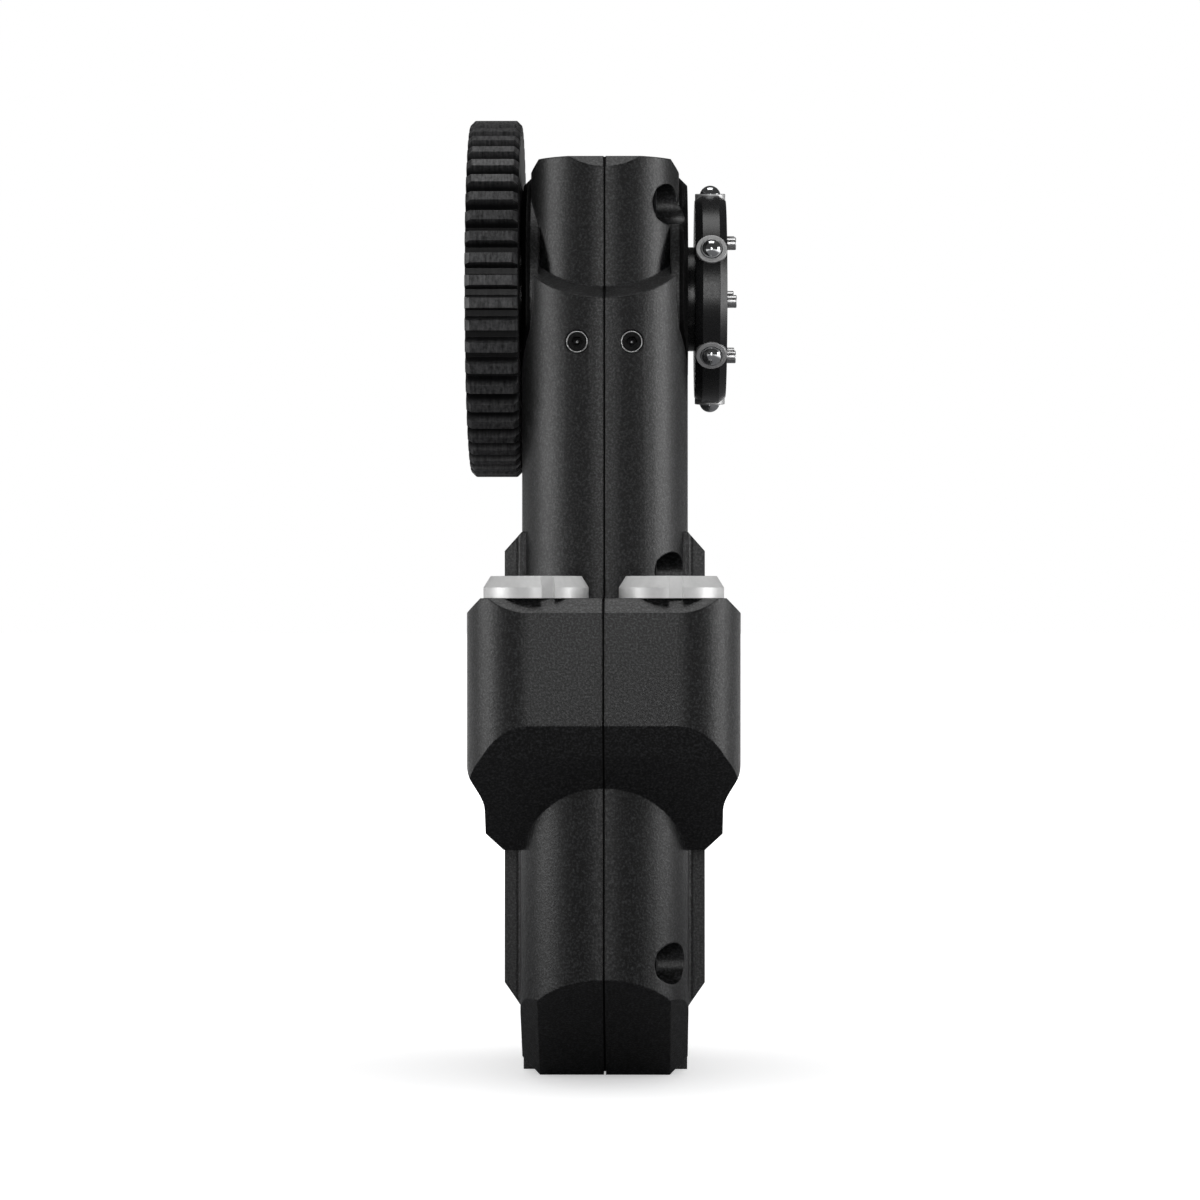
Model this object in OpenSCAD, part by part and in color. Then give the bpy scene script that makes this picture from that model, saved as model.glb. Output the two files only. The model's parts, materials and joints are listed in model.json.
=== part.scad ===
/* [Drive gear] */
// Tooth module of the lens gear
gear_module = 0.8; // [0.6:0.1:0.8]
// Number of teeth of the lens gear
gear_teeth = 51; // [48:1:54]
// Face width of the lens gear
gear_w = 6.1; // [5.5:0.1:8]

/* [Hub] */
// Diameter of the hub disc
hub_d = 24.8; // [24:0.1:26]
// Thickness of the hub disc
hub_t = 3.7; // [3.4:0.1:4.2]
// Pitch circle of the drive pins
pin_pcd = 15.44; // [13:0.1:16]
// Diameter of a drive pin
pin_d = 1.5; // [1.2:0.1:1.8]
// How far a drive pin stands out of the hub
pin_out = 1.15; // [0.8:0.05:1.3]
// Diameter of a plunger ball
ball_d = 2.5; // [2:0.1:2.6]
// Travel of a plunger ball
ball_travel = 0.5; // [0.3:0.05:0.6]
// Number of plungers, and of pins, round a hub
hub_count = 6; // [4:1:6]

/* [Housing] */
// Width of the head
head_w = 17.36; // [17:0.02:18]
// Width of the arm and of the lower arm
arm_w = 19.4; // [19:0.1:20.5]
// Width of the side pads
pad_w = 23.3; // [23:0.1:25]
// Width of the socket block
block_w = 31; // [30:0.5:34]
// Width of the skirt under the socket block
skirt_w = 27.1; // [26:0.1:28.5]
// Height of the head top over the shaft axis
head_top = 15.4; // [15.2:0.1:17]
// Drop from the shaft axis to the top of the socket block
block_drop = 35.7; // [35:0.1:38]
// Drop from the shaft axis to the bottom of the housing
body_drop = 91.5; // [90:0.5:96]
// Wall of the housing round the gears
wall = 1.78; // [1.5:0.02:1.8]

/* [Gear train] */
// Tooth module of the inner gears
train_module = 0.5; // [0.4:0.02:0.5]
// Teeth of the gear on the output shaft
output_teeth = 50; // [46:2:50]
// Teeth of the idler
idler_teeth = 26; // [24:2:26]
// Teeth of the large gear of the compound
big_teeth = 48; // [44:2:48]
// Teeth of the small gear of the compound
small_teeth = 16; // [14:1:16]
// Teeth of the motor pinion
pinion_teeth = 16; // [14:1:16]

/* [Rod clamp] */
// Diameter of the support rod
rod_d = 15; // [14:0.5:16]
// Gap between rod and bore
rod_gap = 0.05; // [0.02:0.01:0.1]

/* [Sockets] */
// Outer diameter of a socket nut
nut_d = 11.9; // [11.5:0.1:12.4]
// Height of a socket nut
nut_h = 2.5; // [2:0.1:3]
// Distance between the two sockets
socket_pitch = 15.3; // [14.8:0.1:16]

/* [Hidden] */
$fn = 48;
over = 1;
far = 200;
parting = 0.24;
gasket_sink = 0.4;
shaft_y = -8;
saddle_bottom = 14.1;
shaft_z = body_drop - saddle_bottom;

// Bore of the rod clamp and the screw above it, which set where the rear of the housing ends
bore_r = rod_d / 2 + rod_gap;
clamp_screw_rise = 3.05;
clamp_screw_z = bore_r + clamp_screw_rise;
clamp_screw_cover = 3.6;
saddle_top = clamp_screw_z + clamp_screw_cover;
rear_gap = 2.6;
rear_drop = shaft_z - saddle_top - rear_gap;

// Head, in the frame of the shaft: forward is -Y
head_front = 16.7;
head_rear = 17.1;
nose_flat = 0.2;
head_nose = head_w / 2 - nose_flat;
arm_nose = arm_w / 2 - nose_flat;
head_chamfer = 1;
head_chamfer_z = 1.3;
boss_r = 14.5;
boss_chamfer = (arm_w - head_w) / 2;
boss_front = head_front - head_nose + arm_nose + sqrt(arm_nose * arm_nose - head_nose * head_nose);
rear_fillet = 4;
rear_round = 8;

// Arm
arm_front = 19;
step_z = -1.2;
step_run = 15;
step_angle = 33;

// Socket block
block_front = 32;
block_fillet = 7.2;
block_chamfer = 1.7;
block_wall_h = 14.3;
block_slope_h = 3.7;
block_slope = 2.5;
skirt_start = 18.8;
skirt_h = 5.3;
skirt_drop = 28.9;
skirt_corner = 2;

// Side pads
pad_top = 28;
pad_bottom = 83.2;
pad_front = 12;
pad_rear = 15;
pad_slope_top = 2.2;
pad_slope_bottom = 2.8;
pad_cove = 0.6;

// Lower arm
low_front = 26;
low_slope_h = 12.6;
low_angle = 37;
low_slope_run = low_slope_h / tan(low_angle);
low_start = 50;
low_rear = 3.5;
low_edge = 2.1;
rear_chamfer = 2;

// Shaft, hubs and bearings
shaft_r = 4;
bearing_r = 8;
bearing_w = 4;
bearing_sink = 0.2;
bearing_out = arm_w / 2 - bearing_sink;
bearing_inner_r = 5.6;
bearing_outer_r = 6.6;
bearing_seal = 0.3;
shoulder_r = 6.2;
hub_run = 0.9;
hub_x = arm_w / 2 + hub_run;
hub_step = 360 / hub_count;
hub_turns = [8.8, -6.2];
hub_chamfer = 0.7;
hub_chamfer_x = 0.85;
hub_dish_r = 5;
hub_dish = 0.5;
hub_dish_rise = 0.1;
hub_screw_r = 3.4;
hub_screw_sink = 0.4;
hub_screw_shank_r = 1.5;
hub_screw_len = 7;
hub_key_d = 2.5;
hub_key_h = 0.8;
pin_floor = 1.2;
pin_shoulder = 0.25;
pin_taper = 0.05;
shaft_seat = 1.8;
shaft_end = hub_x + shaft_seat;

// Pockets
pocket_half = head_w / 2 - wall;
motor_r = 11.2;
motor_gap = 0.3;
tip_gap = 0.7;
bearing_boss_r = 10;
bearing_lip = 0.3;
bearing_boss_x = bearing_out - bearing_w - bearing_lip;
board_front = 18.4;
board_top = 60;
board_bottom = 79;
board_half = arm_w / 2 - wall;
socket_pocket_h = 13.6;
wire_half = 2;
wire_back = 6;
wire_in = 3;
wire_top = -block_drop - socket_pocket_h + 2 * wire_half;

// Places of the train's axes, in the frame of the shaft
idler_y = -4;
compound_y = 1;
motor_y = -0.5;
output_pr = train_module * output_teeth / 2;
idler_pr = train_module * idler_teeth / 2;
big_pr = train_module * big_teeth / 2;
small_pr = train_module * small_teeth / 2;
pinion_pr = train_module * pinion_teeth / 2;
function drop_to(dist, dy) = sqrt(dist * dist - dy * dy);
idler_z = -drop_to(output_pr + idler_pr, idler_y);
compound_z = idler_z - drop_to(idler_pr + small_pr, compound_y - idler_y);
motor_z = compound_z - drop_to(big_pr + pinion_pr, motor_y - compound_y);

// Teeth of the inner gears
pressure_angle = 20;
addendum_share = 0.8;
dedendum_share = 1.15;
backlash = 0.1;
root_share = 0.8;
root_rise_share = 0.1;
train_w = 6;
big_x = 3.6;
big_w = 2.6;
train_run = 0.03;
web_hole_count = 6;
web_hole_ring = 8.9;
web_hole_r = 1.5;

// Plungers
sleeve_d = 3.6;
sleeve_lip = 0.12;
sleeve_floor = 0.5;
ball_gap = 0.03;
ball_sink = 0.15;
ball_c = hub_d / 2 - ball_sink;
spring_wire = 0.3;
spring_solid = 1.4;
sleeve_in = ball_c - ball_d / 2 - ball_travel - spring_solid - sleeve_floor;

// Lens gear
gear_run = 0.2;
gear_x = arm_w / 2 + gear_run;
gear_outer_r = gear_module * (gear_teeth + 2) / 2;
tooth_depth_share = 2.1;
tooth_tip_share = 0.44;
tooth_base_share = 0.7;
tooth_edge = 0.6;
gear_turn = 1.75;
gear_bore_gap = 0.2;
groove_gap = 0.1;
gear_hole_gap = 0.1;
gear_open_r = 4.6;

// Screws of the housing
screw_head_r = 2.25;
screw_well_r = 2.35;
screw_seat = 3.7;
screw_well_x = arm_w / 2 - screw_seat;
screw_shank_r = 1.25;
screw_tip_wall = 5.9;
screw_tip_x = screw_tip_wall - arm_w / 2;
screw_cone = 1.2;
screw_key_d = 2;
screw_key_h = 1;
screw_in = 4;
screw_rear_in = 3.5;
screw_top_in = 5.3;
screw_mid_rise = 3;
screw_low_rise = 14.2;
screw_rear_top = 13.2;
screw_rear_rise = 4.4;
screw_spots = [
    [screw_in - head_front, head_top - screw_top_in], [screw_in - arm_front, screw_mid_rise - block_drop],
    [screw_in - low_front, screw_low_rise - body_drop], [head_rear - screw_rear_in, -screw_rear_top],
    [head_rear - screw_rear_in, screw_rear_rise - rear_drop]
];
dowel_r = 1;
dowel_half = 4;
dowel_in = 3.6;
dowel_mid_rise = 9.3;
dowel_low_in = 3.1;
dowel_low_rise = 5.1;
dowel_spots = [
    [dowel_in - arm_front, dowel_mid_rise - block_drop],
    [-low_rear - dowel_low_in, dowel_low_rise - body_drop]
];

// Set screws
set_x = 3.14;
set_z = -6.2;
set_r = 1.25;
set_len = 4;
set_sink = 1.15;
set_key_d = 1.3;
set_key_h = 1.2;
set_rim = 0.12;

// Fixed pins of the train
axle_r = 1.25;
axle_wall = 1.6;
axle_half = arm_w / 2 - axle_wall;
axle_boss_r = 2.6;
axle_boss_gap = 0.4;
axle_end_gap = 0.2;
idler_axle_end = train_w / 2 + axle_end_gap;

// Motor
motor_wall = 2.25;
motor_left = motor_wall - pad_w / 2;
motor_right = 2.8;
can_wall = 1;
cap_t = 1.2;
cap_hole_r = 1;
stator_r = 7.3;
stator_slots = 9;
slot_w = 1.5;
stator_w = 6.4;
coil_t = 1.3;
stator_mid = (motor_left + can_wall + motor_right - cap_t) / 2;
rotor_r = 6.9;
rotor_w = 7.2;
rotor_shaft_r = 1.5;
rotor_shaft_out = 0.1;
pinion_hub_gap = 0.3;

// Control board
board_t = 1.2;
board_x = 3.2;
board_edge = 0.3;
board_y = board_edge - board_front;
board_z = board_edge - board_bottom;
board_depth = board_front - low_rear - wall - 2 * board_edge;
board_h = board_bottom - board_top - 2 * board_edge;
post_r = 1.2;
// Chips as [place along the depth, place along the height, side, thickness] and posts as their places
chip_shares = [
    [0.31, 0.36, 0.33, 0.8], [0.12, 0.74, 0.22, 1.2], [0.5, 0.72, 0.19, 0.7], [0.78, 0.23, 0.14, 1]
];
post_shares = [[0.13, 0.1], [0.87, 0.9]];

// Sockets
socket_y = -25.5;
nut_cone = 0.8;
nut_cone_h = 1.3;
nut_slot_w = 1.55;
nut_slot_depth = 0.8;
nut_turns = [15, 5];
shell_r = 4.5;
shell_bore_r = 3.4;
shell_len = 12.5;
shell_proud = 0.3;
insert_drop = 6.5;
insert_t = 4.5;
contact_r = 0.35;
contact_ring = 1.6;
contact_up = 2.2;
contact_count = 4;
insert_z = nut_h - shell_proud - insert_drop - insert_t;

// Rod clamp, in its own frame round the rod axis
clamp_w = arm_w;
saddle_front = low_rear - shaft_y;
split = 0.25;
jaw_wall = 3.7;
hinge_y = 1.5;
hinge_rise = 3.05;
hinge_z = -bore_r - hinge_rise;
hinge_pin_r = 1.5;
hinge_run = 0.03;
knuckle_r = 3.1;
knuckle_gap = 0.35;
knuckle_half = 4;
ear_back = 9;
clamp_screw_r = 2;
clamp_hole_gap = 0.15;
clamp_travel = 4.9;
clamp_tip = 0.35;
washer_r = 3.6;
washer_t = 0.8;
washer_run = 0.05;
washer_y = ear_back + clamp_travel + clamp_tip;
knob_r = 5.2;
knob_w = 5;
knob_flutes = 10;
flute_r = 1;
saddle_screw_x = 6.4;
saddle_screw_r = 1;
saddle_screw_head_r = 1.9;
saddle_screw_head_h = 1.6;
saddle_screw_len = 13;
saddle_dowel_x = 6;
saddle_dowel_z = -11.2;
saddle_dowel_r = 1;
saddle_dowel_out = 5;
saddle_dowel_in = 3;

// Basic moves
module at_shaft() translate([0, shaft_y, shaft_z]) children();
module along_x(w) rotate([90, 0, 90]) linear_extrude(w, center = true) children();
module from_x(x, w) translate([x, 0, 0]) rotate([90, 0, 90]) linear_extrude(w) children();
module rod_x(x0, x1, r) translate([x0, 0, 0]) rotate([0, 90, 0]) cylinder(h = x1 - x0, r = r);
module at(y, z) translate([0, y, z]) children();
module turned(list) rotate([0, 90, 0]) rotate_extrude() polygon(list);

// A plan outline with rounded front corners, seen from above
function arc(cx, cy, r, a0, a1, n) = [
    for (i = [0:n]) [cx + r * cos(a0 + (a1 - a0) * i / n), cy + r * sin(a0 + (a1 - a0) * i / n)]
];
module plan(w, front, rear, r, r2) {
    linear_extrude(far, center = true) union() {
        for (sx = [-1, 1]) {
            translate([sx * (w / 2 - r), r - front]) circle(r);
            translate([sx * (w / 2 - r2), rear - r2]) circle(r2);
        }
        translate([-w / 2, r - front]) square([w, front - r + rear - r2]);
        translate([r - w / 2, -front]) square([w - 2 * r, r + over]);
        translate([r2 - w / 2, rear - r2 - over]) square([w - 2 * r2, r2 + over]);
    }
}
// A mirrored front outline, given as its right half
module front_view(list) {
    n = len(list);
    rotate([90, 0, 0]) linear_extrude(far, center = true)
        polygon(concat(list, [for (i = [0:n - 1]) [-list[n - 1 - i][0], list[n - 1 - i][1]]]));
}

// Housing
module head_side() polygon([
    [-head_front, head_top - head_chamfer_z], [head_chamfer - head_front, head_top],
    each arc(0, 0, head_rear, asin(head_top / head_rear), 0, 8), [head_rear, -boss_r],
    [-head_front, -boss_r]
]);
module head_form() intersection() {
    along_x(head_w) head_side();
    plan(head_w, head_front, head_rear, head_nose, rear_fillet);
    front_view([
        [head_w / 2, -far], [head_w / 2, head_top - head_chamfer_z],
        [head_w / 2 - head_chamfer, head_top]
    ]);
}
module arm_side() {
    step_top = step_z + step_run * tan(step_angle);
    polygon([
        [-arm_front, step_z], [step_run - arm_front, step_top], [0, step_top], [head_rear, -rear_round],
        [head_rear, rear_chamfer - rear_drop], [head_rear - rear_chamfer, -rear_drop],
        [-arm_front, -rear_drop]
    ]);
}
module arm_form() intersection() {
    along_x(arm_w) arm_side();
    plan(arm_w, arm_front, head_rear, arm_nose, rear_fillet);
}
module bosses() intersection() {
    for (sx = [-1, 1]) scale([sx, 1, 1]) {
        rod_x(head_w / 2 - over, head_w / 2, boss_r);
        translate([head_w / 2, 0, 0]) rotate([0, 90, 0])
            cylinder(h = boss_chamfer, r1 = boss_r, r2 = boss_r - boss_chamfer);
    }
    plan(arm_w, boss_front, head_rear, arm_nose, rear_fillet);
}
module block_side() {
    top = -block_drop;
    under = top - block_wall_h - block_slope_h;
    floor_z = top - skirt_drop;
    polygon([
        [block_chamfer - block_front, top], [-block_front, top - block_chamfer],
        [-block_front, top - block_wall_h], [block_slope - block_front, under],
        [block_slope - block_front + under - floor_z, floor_z], [-low_rear, floor_z],
        [-low_rear, top - block_chamfer], [-low_rear - block_chamfer, top]
    ]);
}
module block_form() {
    top = -block_drop;
    floor_z = top - skirt_drop;
    steps = 10;
    intersection() {
        along_x(block_w) block_side();
        plan(block_w, block_front, far / 2, block_fillet, block_fillet);
        front_view(concat(
            [[block_w / 2 - block_chamfer, top], [block_w / 2, top - block_chamfer]],
            [for (i = [0:steps]) [
                skirt_w / 2 + (block_w - skirt_w) / 4 * (1 + cos(180 * i / steps)),
                top - skirt_start - skirt_h * i / steps
            ]],
            [[skirt_w / 2, floor_z + skirt_corner], [skirt_w / 2 - skirt_corner, floor_z]]
        ));
    }
}
module pad_form() intersection() {
    along_x(pad_w) polygon([
        [-pad_front - pad_cove, -pad_top], [pad_rear, -pad_top], [pad_rear, rear_chamfer - rear_drop],
        [-low_rear - rear_chamfer, rear_chamfer - rear_drop], [-low_rear - rear_chamfer, -pad_bottom],
        [-pad_front - pad_cove, -pad_bottom]
    ]);
    front_view([
        [arm_w / 2 - over, -pad_top], [arm_w / 2, -pad_top], [pad_w / 2, -pad_top - pad_slope_top],
        [pad_w / 2, pad_slope_bottom - pad_bottom], [arm_w / 2, -pad_bottom],
        [arm_w / 2 - over, -pad_bottom]
    ]);
    linear_extrude(far, center = true) for (sx = [-1, 1]) scale([sx, 1]) polygon([
        [0, pad_rear], [pad_w / 2 - over, pad_rear], [pad_w / 2, pad_rear - over],
        [pad_w / 2, -pad_front], [arm_w / 2 + pad_cove, -pad_front],
        each arc(arm_w / 2 + pad_cove, -pad_front - pad_cove, pad_cove, 90, 180, 4),
        [0, -pad_front - pad_cove]
    ]);
}
module low_side() polygon([
    [-low_front, -low_start], [-low_front, low_slope_h - body_drop],
    [low_slope_run - low_front, -body_drop], [-low_rear, -body_drop], [-low_rear, -low_start]
]);
module low_form() {
    intersection() {
        along_x(arm_w) low_side();
        plan(arm_w, low_front, over, arm_nose, over);
        front_view([
            [arm_w / 2, -low_start], [arm_w / 2, low_edge - body_drop],
            [arm_w / 2 - low_edge, -body_drop]
        ]);
        // Bevel along both sides of the slope
        translate([0, -low_front, low_slope_h - body_drop]) rotate([-low_angle, 0, 0])
            rotate([90, 0, 0]) linear_extrude(far, center = true) polygon([
                [-arm_w / 2, far], [-arm_w / 2, low_edge], [low_edge - arm_w / 2, 0],
                [arm_w / 2 - low_edge, 0], [arm_w / 2, low_edge], [arm_w / 2, far]
            ]);
    }
}
module outer_form() {
    head_form();
    arm_form();
    bosses();
    block_form();
    pad_form();
    low_form();
}
module train_pocket() {
    tip = train_module * addendum_share + tip_gap;
    difference() {
        union() {
            rod_x(-bearing_boss_x, bearing_boss_x, output_pr + tip);
            at(idler_y, idler_z) rod_x(-pocket_half, pocket_half, idler_pr + tip);
            at(compound_y, compound_z) rod_x(-pocket_half, pocket_half, big_pr + tip);
            at(motor_y, motor_z) rod_x(motor_left - motor_gap, pocket_half, motor_r + motor_gap);
        }
        for (sx = [-1, 1]) scale([sx, 1, 1]) rod_x(bearing_boss_x, arm_w / 2, bearing_boss_r);
        at(idler_y, idler_z) rod_x(-arm_w / 2, -train_w / 2 - axle_boss_gap, axle_boss_r);
        at(compound_y, compound_z) {
            rod_x(-arm_w / 2, -train_w / 2 - axle_boss_gap, axle_boss_r);
            rod_x(big_x + big_w + axle_boss_gap, arm_w / 2, axle_boss_r);
        }
    }
}
module bearing_seats() for (sx = [-1, 1]) scale([sx, 1, 1]) {
    rod_x(bearing_out - bearing_w, arm_w / 2 + over, bearing_r);
    rod_x(0, arm_w / 2, bearing_outer_r);
}
module socket_holes() for (sx = [-1, 1])
    translate([sx * socket_pitch / 2, socket_y, -block_drop - socket_pocket_h])
        cylinder(h = socket_pocket_h + over, r = shell_r);
module wire_ways() {
    translate([-wire_half, -board_front, -board_top - over])
        cube([2 * wire_half, board_front - wire_back, over + board_top + motor_z - motor_r + wire_in]);
    translate([-socket_pitch / 2, socket_y - wire_half, wire_top - 2 * wire_half])
        cube([socket_pitch, -socket_y - wire_back, 2 * wire_half]);
}
module board_pocket() translate([-board_half, -board_front, -board_bottom])
    cube([2 * board_half, board_front - low_rear - wall, board_bottom - board_top]);
module screw_holes() for (p = screw_spots) at(p[0], p[1]) {
    rod_x(screw_tip_x - screw_cone, screw_well_x, screw_shank_r);
    rod_x(screw_well_x, block_w, screw_well_r);
    translate([screw_well_x - screw_cone, 0, 0]) rotate([0, 90, 0])
        cylinder(h = screw_cone, r1 = screw_shank_r, r2 = screw_well_r);
}
module dowel_holes() for (p = dowel_spots) at(p[0], p[1]) rod_x(-dowel_half, dowel_half, dowel_r);
module axle_holes() {
    at(idler_y, idler_z) rod_x(-axle_half, idler_axle_end, axle_r);
    at(compound_y, compound_z) rod_x(-axle_half, axle_half, axle_r);
}
module set_holes() for (sx = [-1, 1]) translate([sx * set_x, -arm_front + set_len + set_sink, set_z])
    rotate([90, 0, 0]) {
        cylinder(h = set_len + over, r = set_r);
        translate([0, 0, set_len]) cylinder(h = set_sink + over, r = set_r + set_rim);
    }
module saddle_holes() {
    translate([0, -shaft_y, -shaft_z]) for (sx = [-1, 1]) {
        translate([sx * saddle_screw_x, -split, clamp_screw_z]) rotate([90, 0, 0])
            cylinder(h = saddle_screw_len, r = saddle_screw_r);
        translate([sx * saddle_dowel_x, -saddle_front + saddle_dowel_in, saddle_dowel_z])
            rotate([90, 0, 0]) cylinder(h = saddle_dowel_in + saddle_dowel_out, r = saddle_dowel_r);
    }
}
module housing_half(side) at_shaft() intersection() {
    difference() {
        outer_form();
        train_pocket();
        bearing_seats();
        socket_holes();
        wire_ways();
        board_pocket();
        screw_holes();
        dowel_holes();
        axle_holes();
        set_holes();
        saddle_holes();
    }
    translate([side > 0 ? parting / 2 : -far - parting / 2, -far, -far]) cube([far, 2 * far, 2 * far]);
}
// Gasket between the halves, a little inside their edge
module housing_gasket() color([0.02, 0.02, 0.02]) at_shaft() difference() {
    along_x(parting) offset(delta = -gasket_sink) union() {
        head_side();
        arm_side();
        block_side();
        low_side();
    }
    train_pocket();
    wire_ways();
    board_pocket();
    screw_holes();
    dowel_holes();
    saddle_holes();
}
module housing_left() color([0.08, 0.08, 0.09]) housing_half(-1);
module housing_right() color([0.09, 0.09, 0.1]) housing_half(1);

// Screws and dowels of the housing
module housing_screws() color("dimgray") at_shaft() for (p = screw_spots) at(p[0], p[1])
    difference() {
        union() {
            rod_x(screw_tip_x, screw_well_x, screw_shank_r);
            translate([screw_well_x - screw_cone, 0, 0]) rotate([0, 90, 0])
                cylinder(h = screw_cone, r1 = screw_shank_r, r2 = screw_head_r);
        }
        translate([screw_well_x - screw_key_h, 0, 0]) rotate([0, 90, 0])
            cylinder(h = screw_key_h + over, d = screw_key_d, $fn = 6);
    }
module housing_dowels() color("silver") at_shaft()
    for (p = dowel_spots) at(p[0], p[1]) rod_x(-dowel_half, dowel_half, dowel_r);
module set_screws() color("gray") at_shaft() for (sx = [-1, 1])
    translate([sx * set_x, -arm_front + set_len + set_sink, set_z]) rotate([90, 0, 0]) difference() {
        cylinder(h = set_len, r = set_r);
        translate([0, 0, set_len - set_key_h]) cylinder(h = set_key_h + over, d = set_key_d, $fn = 6);
    }

// Output shaft, its bearings and gears
module output_shaft() color("silver") at_shaft() difference() {
    rod_x(-shaft_end, shaft_end, shaft_r);
    for (sx = [-1, 1]) scale([sx, 1, 1])
        rod_x(shaft_end - hub_screw_len, shaft_end + over, hub_screw_shank_r);
}
module bearing(sx) at_shaft() scale([sx, 1, 1]) color("lightgray") turned([
    [shaft_r + train_run, bearing_out - bearing_w], [bearing_r, bearing_out - bearing_w],
    [bearing_r, bearing_out], [bearing_outer_r, bearing_out],
    [bearing_outer_r - bearing_seal, bearing_out - bearing_seal],
    [bearing_inner_r, bearing_out - bearing_seal], [bearing_inner_r, bearing_out],
    [shaft_r + train_run, bearing_out]
]);
module bearing_left() bearing(-1);
module bearing_right() bearing(1);

// Involute outline of an inner gear, from its tooth count and the turn of its first tooth
function unwind(r, base) = r <= base ? 0 : tan(acos(base / r)) * 180 / PI - acos(base / r);
function tooth_angle(r, pr) = let (base = pr * cos(pressure_angle))
    (PI * train_module / 2 - backlash) / 2 / pr * 180 / PI + unwind(pr, base) - unwind(r, base);
module gear_outline(n, turn) {
    pr = train_module * n / 2;
    base = pr * cos(pressure_angle);
    tip = pr + addendum_share * train_module;
    root = pr - dedendum_share * train_module;
    low = max(base, root + root_rise_share * train_module);
    radii = [low, (low + pr) / 2, pr, (pr + tip) / 2, tip];
    half = [for (r = radii) [r, tooth_angle(r, pr)]];
    flank = concat([[root, tooth_angle(low, pr) * root_share]], half);
    m = len(flank);
    polygon([
        for (k = [0:n - 1]) each concat(
            [for (i = [0:m - 1]) flank[i][0] * [cos(turn + 360 * k / n - flank[i][1]),
                sin(turn + 360 * k / n - flank[i][1])]],
            [for (i = [0:m - 1]) flank[m - 1 - i][0] * [cos(turn + 360 * k / n + flank[m - 1 - i][1]),
                sin(turn + 360 * k / n + flank[m - 1 - i][1])]]
        )
    ]);
}
// Turn of gear b that meshes with gear a, whose first tooth stands at turn_a
function mesh_turn(line, turn_a, n_a, n_b) = line + 180 - (turn_a - line) * n_a / n_b - 180 / n_b;
line_idler = atan2(idler_z, idler_y);
line_compound = atan2(compound_z - idler_z, compound_y - idler_y);
line_motor = atan2(motor_z - compound_z, motor_y - compound_y);
idler_turn = mesh_turn(line_idler, 0, output_teeth, idler_teeth);
small_turn = mesh_turn(line_compound, idler_turn, idler_teeth, small_teeth);
pinion_turn = mesh_turn(line_motor, small_turn, big_teeth, pinion_teeth);

module output_gear() color("gold") at_shaft() difference() {
    union() {
        from_x(-train_w / 2, train_w) gear_outline(output_teeth, 0);
        rod_x(-bearing_boss_x + tip_gap, bearing_boss_x - tip_gap, bearing_outer_r - bearing_seal);
    }
    rod_x(-arm_w, arm_w, shaft_r);
    for (k = [0:web_hole_count - 1]) rotate([360 / web_hole_count * k, 0, 0]) at(web_hole_ring, 0)
        rod_x(-arm_w, arm_w, web_hole_r);
}
module idler_gear() color("goldenrod") at_shaft() at(idler_y, idler_z) difference() {
    from_x(-train_w / 2, train_w) gear_outline(idler_teeth, idler_turn);
    rod_x(-arm_w, arm_w, axle_r + train_run);
}
module compound_gear() color("goldenrod") at_shaft() at(compound_y, compound_z) difference() {
    union() {
        from_x(-train_w / 2, train_w / 2 + big_x) gear_outline(small_teeth, small_turn);
        from_x(big_x, big_w) gear_outline(big_teeth, small_turn);
    }
    rod_x(-arm_w, arm_w, axle_r + train_run);
    for (k = [0:web_hole_count - 1]) rotate([360 / web_hole_count * k, 0, 0]) at(web_hole_ring - axle_r, 0)
        rod_x(big_x - over, arm_w, web_hole_r);
}
module idler_axle() color("silver") at_shaft() at(idler_y, idler_z)
    rod_x(-axle_half, idler_axle_end, axle_r);
module compound_axle() color("silver") at_shaft() at(compound_y, compound_z)
    rod_x(-axle_half, axle_half, axle_r);

// Motor
module motor_can() color("darkgray") at_shaft() at(motor_y, motor_z) difference() {
    rod_x(motor_left, motor_right - cap_t, motor_r);
    rod_x(motor_left + can_wall, motor_right, motor_r - can_wall);
    rod_x(motor_left - over, motor_right, rotor_shaft_r + train_run);
}
module motor_cap() color("gray") at_shaft() at(motor_y, motor_z) difference() {
    rod_x(motor_right - cap_t, motor_right, motor_r);
    rod_x(motor_left, motor_right + over, rotor_shaft_r + train_run);
    for (k = [0:2]) rotate([120 * k, 0, 0]) at(stator_r, 0) rod_x(0, motor_right + over, cap_hole_r);
}
module motor_stator() color("peru") at_shaft() at(motor_y, motor_z) difference() {
    rod_x(stator_mid - stator_w / 2, stator_mid + stator_w / 2, motor_r - can_wall);
    rod_x(motor_left, motor_right, stator_r);
    for (k = [0:stator_slots - 1]) rotate([360 / stator_slots * k, 0, 0])
        translate([motor_left, stator_r - coil_t, -slot_w / 2])
            cube([motor_right - motor_left, 2 * coil_t, slot_w]);
}
module motor_rotor() color("slategray") at_shaft() at(motor_y, motor_z) {
    rod_x(stator_mid - rotor_w / 2, stator_mid + rotor_w / 2, rotor_r);
    rod_x(motor_left - rotor_shaft_out, big_x + big_w + pinion_hub_gap, rotor_shaft_r);
}
module motor_pinion() color("gold") at_shaft() at(motor_y, motor_z) difference() {
    from_x(big_x - pinion_hub_gap, big_w + 2 * pinion_hub_gap) gear_outline(pinion_teeth, pinion_turn);
    rod_x(-arm_w, arm_w, rotor_shaft_r);
}

// Control board
module control_board() color("darkgreen") at_shaft() translate([board_x, board_y, board_z]) {
    cube([board_t, board_depth, board_h]);
    for (c = chip_shares) translate([board_t, c[0] * board_depth, c[1] * board_h])
        cube([c[3] * board_t, c[2] * board_h, c[2] * board_h]);
    for (p = post_shares) translate([board_t, p[0] * board_depth, p[1] * board_h])
        rotate([0, 90, 0]) cylinder(h = board_half - board_x - board_t, r = post_r);
}

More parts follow.
